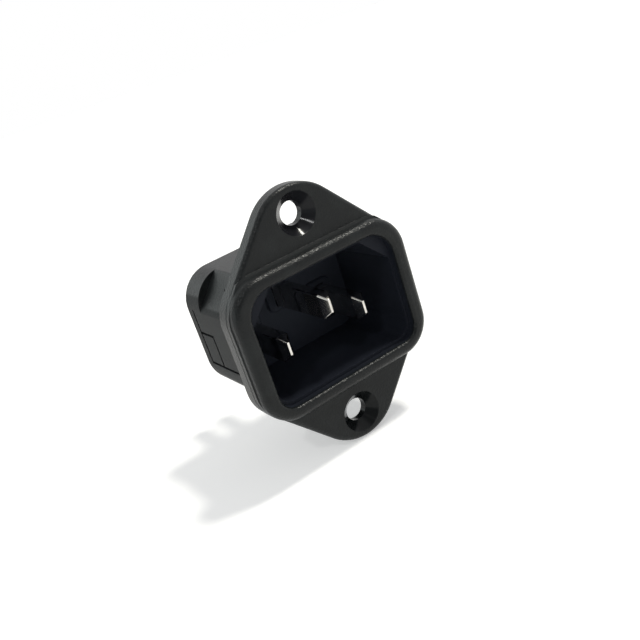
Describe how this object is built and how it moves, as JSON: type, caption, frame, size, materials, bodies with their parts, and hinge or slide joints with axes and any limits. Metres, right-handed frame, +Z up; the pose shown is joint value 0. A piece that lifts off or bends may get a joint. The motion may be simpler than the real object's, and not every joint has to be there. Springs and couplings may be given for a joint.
{
  "type": "c14 panel inlet socket",
  "caption": "Screw-mounted power inlet with a moulded two-eared flange, a raised rim round a chamfered cavity, bevelled blade contacts and flat rear tabs.",
  "frame": {"origin": "centre of the screw pattern, on the back face of the flange where it meets the panel", "axes": "+Y into the cabinet, so the opening faces -Y; +Z up towards the chamfered corners and the earth blade; +X right as the opening is looked into"},
  "size_m": [0.0306, 0.0295, 0.0408],
  "materials": {
    "black_moulding": "fine satin grain outside, smoother in the cavity",
    "plated_contact": "dull nickel plate over brass"
  },
  "bodies": {
    "root": {"housing": "black_moulding", "line_contact": "plated_contact", "neutral_contact": "plated_contact", "earth_contact": "plated_contact"}
  },
  "joints": []
}
